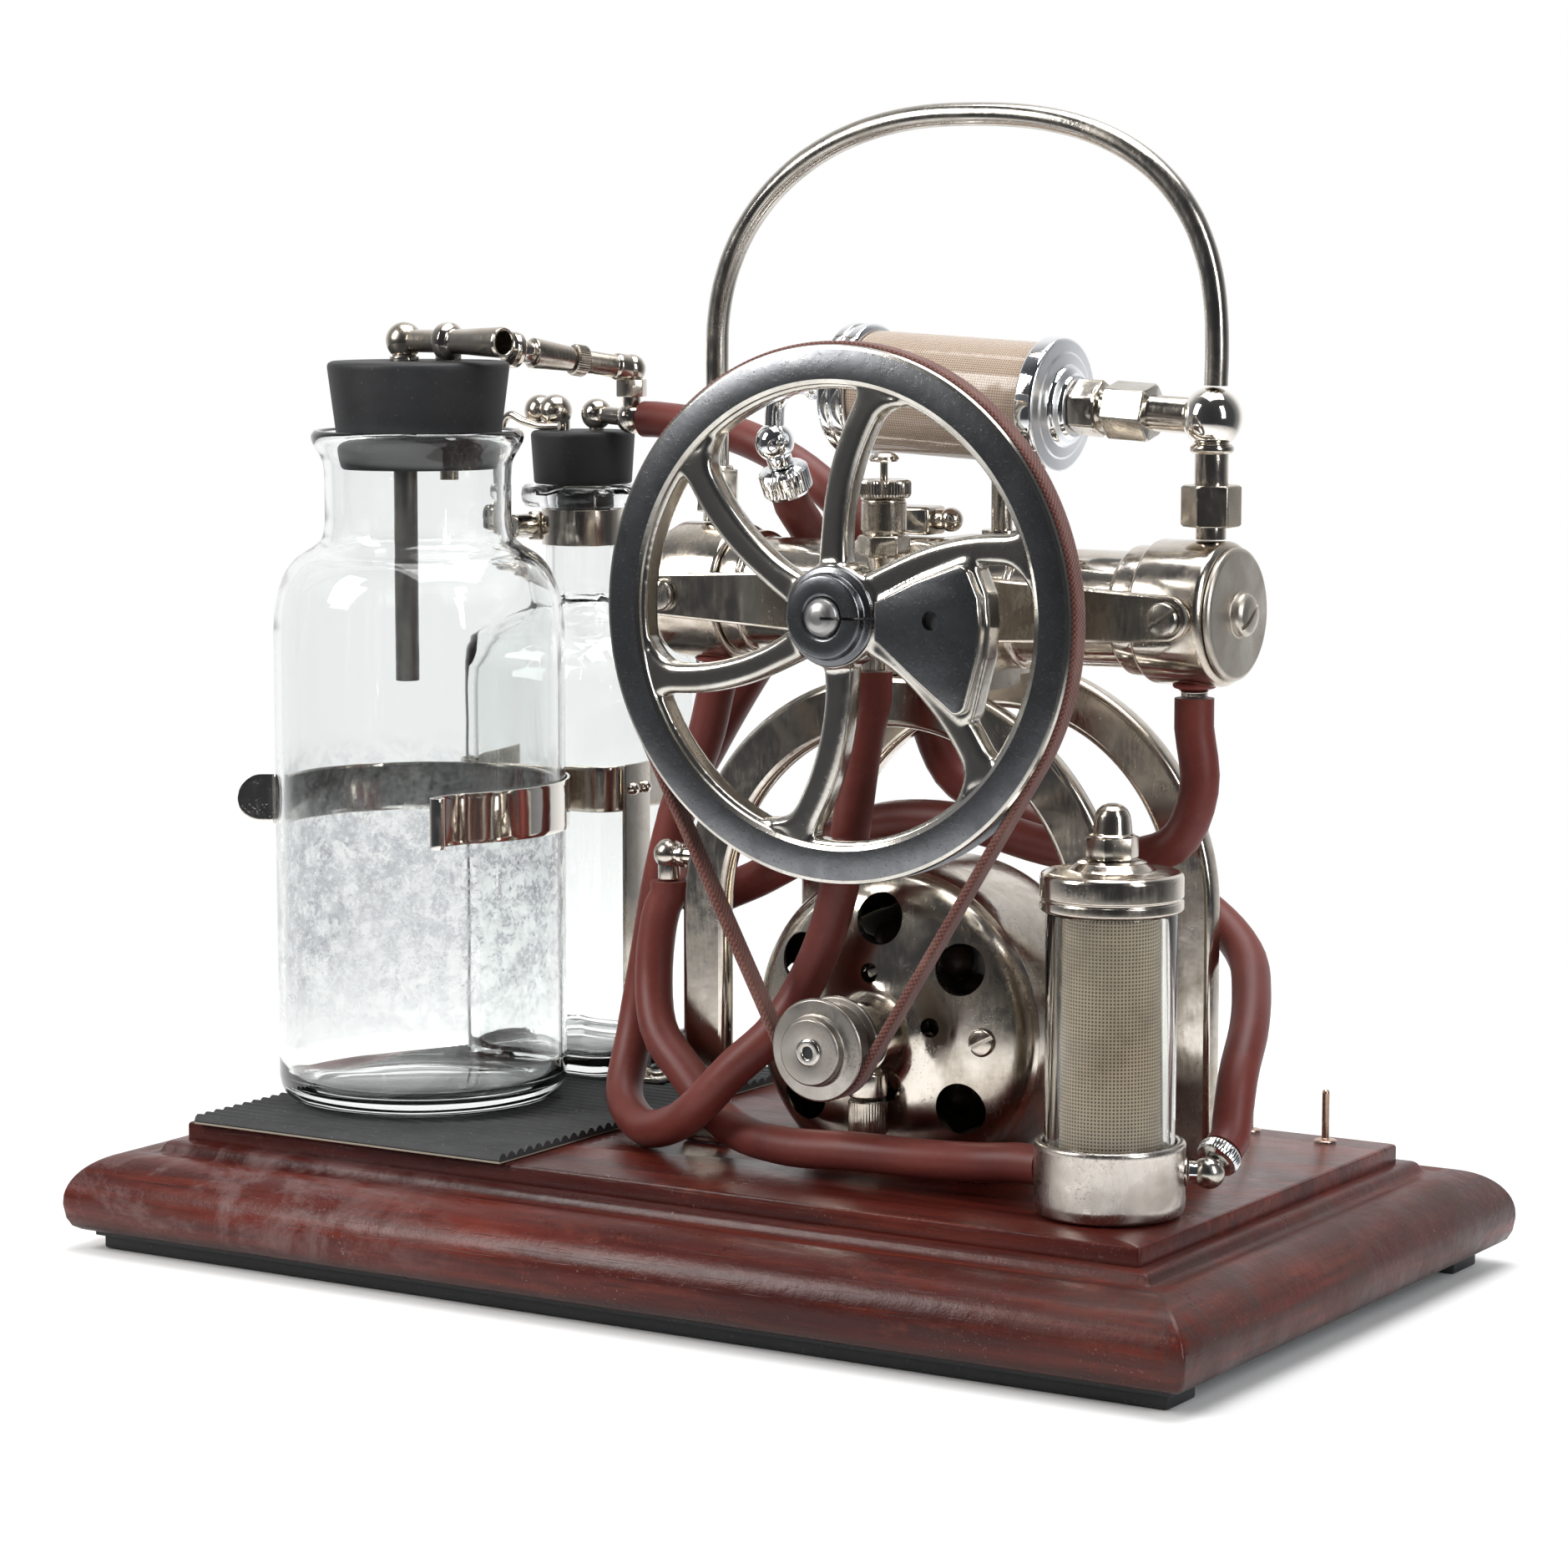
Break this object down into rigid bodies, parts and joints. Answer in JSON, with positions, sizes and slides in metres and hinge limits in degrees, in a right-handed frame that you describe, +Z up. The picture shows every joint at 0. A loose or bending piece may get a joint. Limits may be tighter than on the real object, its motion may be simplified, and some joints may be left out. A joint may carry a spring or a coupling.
{
  "type": "suction and pressure pump",
  "caption": "Portable electric suction and pressure pump: spoked flywheel and belt drive, opposed cylinders, bottles, filters and hoses on a moulded mahogany base.",
  "frame": {"origin": "on the floor under the middle of the moulded base", "axes": "+X along the base's long side towards the filter jar, -Y towards the flywheel side, +Z up"},
  "size_m": [0.42, 0.2416, 0.3786],
  "materials": {
    "nickel": "polished nickel plate with light tarnish",
    "chrome": "bright plate",
    "steel": "worn polished steel",
    "mahogany": "dark red french polish, worn and dusty",
    "black_rubber": "matt moulded",
    "red_rubber": "satin extruded",
    "woven_belt": "diagonal weave",
    "glass": "clear, faintly green, slightly stained",
    "gauze": "fine beige gauze",
    "copper": "tarnished"
  },
  "bodies": {
    "base": {"arch_front": "nickel", "arch_rear": "nickel", "base_plinth": "mahogany", "bearing_bracket": "nickel", "bottle_mat": "black_rubber", "bracket_screw_left": "nickel", "bracket_screw_right": "nickel", "cap_left": "nickel", "cap_right": "nickel", "clip_plate": "nickel", "contact_pin_left": "copper", "contact_pin_right": "copper", "drive_belt": "woven_belt", "ether_bottle": "glass", "ether_clip": "nickel", "ether_outlet_fitting": "nickel", "ether_stopper": "black_rubber", "filter_cap_left": "chrome", "filter_cap_right": "chrome", "filter_elbow": "chrome", "filter_tube": "gauze", "handle": "nickel", "head_left": "nickel", "head_right": "nickel", "hose_a": "red_rubber", "hose_b": "red_rubber", "hose_c": "red_rubber", "hose_d": "red_rubber", "jar_base": "nickel", "jar_cap": "nickel", "jar_elbow": "chrome", "jar_gauze": "gauze", "jar_glass": "glass", "link_arm": "nickel", "motor_drum": "nickel", "motor_front_cover": "nickel", "neck_clamp": "nickel", "oil_cup_body": "nickel", "pump_body": "nickel", "riser_pipe": "nickel", "rubber_foot_pad": "black_rubber", "suction_clip": "nickel", "top_clamp_block": "nickel"},
    "flywheel": {"flywheel": "steel", "crankshaft": "steel"},
    "motor_rotor": {"motor_rotor": "steel", "motor_pulley": "nickel"},
    "piston": {"double_piston": "steel"},
    "oil_plunger": {"oil_cup_plunger": "nickel"},
    "oil_cap": {"oil_cup_cap": "nickel"},
    "motor_oiler": {"motor_oiler_cap": "nickel"},
    "filter_nut": {"filter_hose_nut": "nickel"},
    "jar_nut": {"jar_nut": "nickel"},
    "suction_bottle": {"suction_bottle": "glass"},
    "stopper": {"suction_stopper": "black_rubber", "suction_inlet_fitting": "nickel", "suction_outlet_fitting": "nickel"},
    "union_ring": {"union_ring": "nickel"}
  },
  "joints": [
    {"name": "flywheel_spin", "type": "hinge", "parent": "base", "child": "flywheel", "pos_m": [0.064, -0.07, 0.2215], "axis": [0, 1, 0], "continuous": true},
    {"name": "motor_spin", "type": "hinge", "parent": "base", "child": "motor_rotor", "pos_m": [0.0595, -0.07, 0.0868], "axis": [0, 1, 0], "continuous": true},
    {"name": "piston_slide", "type": "slide", "parent": "base", "child": "piston", "axis": [1, 0, 0], "range_m": [-0.008, 0.008]},
    {"name": "oil_plunger_press", "type": "slide", "parent": "base", "child": "oil_plunger", "axis": [0, 0, 1], "range_m": [-0.0038, 0], "stiffness_N_per_m": 150},
    {"name": "oil_cap_turn", "type": "hinge", "parent": "base", "child": "oil_cap", "pos_m": [0.064, -0.044, 0.259], "axis": [0, 0, 1], "continuous": true},
    {"name": "motor_oiler_turn", "type": "hinge", "parent": "base", "child": "motor_oiler", "pos_m": [0.0595, -0.0455, 0.06], "axis": [0, 0, 1], "continuous": true},
    {"name": "filter_nut_turn", "type": "hinge", "parent": "base", "child": "filter_nut", "pos_m": [-0.00082, 0.00107, 0.25963], "axis": [0.0402, 0.4225, -0.9054], "continuous": true},
    {"name": "jar_nut_turn", "type": "hinge", "parent": "base", "child": "jar_nut", "pos_m": [0.15, -0.0535, 0.155], "axis": [0, 0, 1], "continuous": true},
    {"name": "bottle_lift", "type": "slide", "parent": "base", "child": "suction_bottle", "axis": [0, 0, 1], "range_m": [0, 0.12]},
    {"name": "stopper_pull", "type": "slide", "parent": "suction_bottle", "child": "stopper", "axis": [0, 0, 1], "range_m": [0, 0.09]},
    {"name": "union_ring_turn", "type": "hinge", "parent": "stopper", "child": "union_ring", "pos_m": [-0.10392, 0.03686, 0.29441], "axis": [0.393, 0.9075, -0.1485], "continuous": true}
  ],
  "couplings": [
    {"joint": "motor_spin", "follows": "flywheel_spin", "ratio": 5.5084}
  ]
}
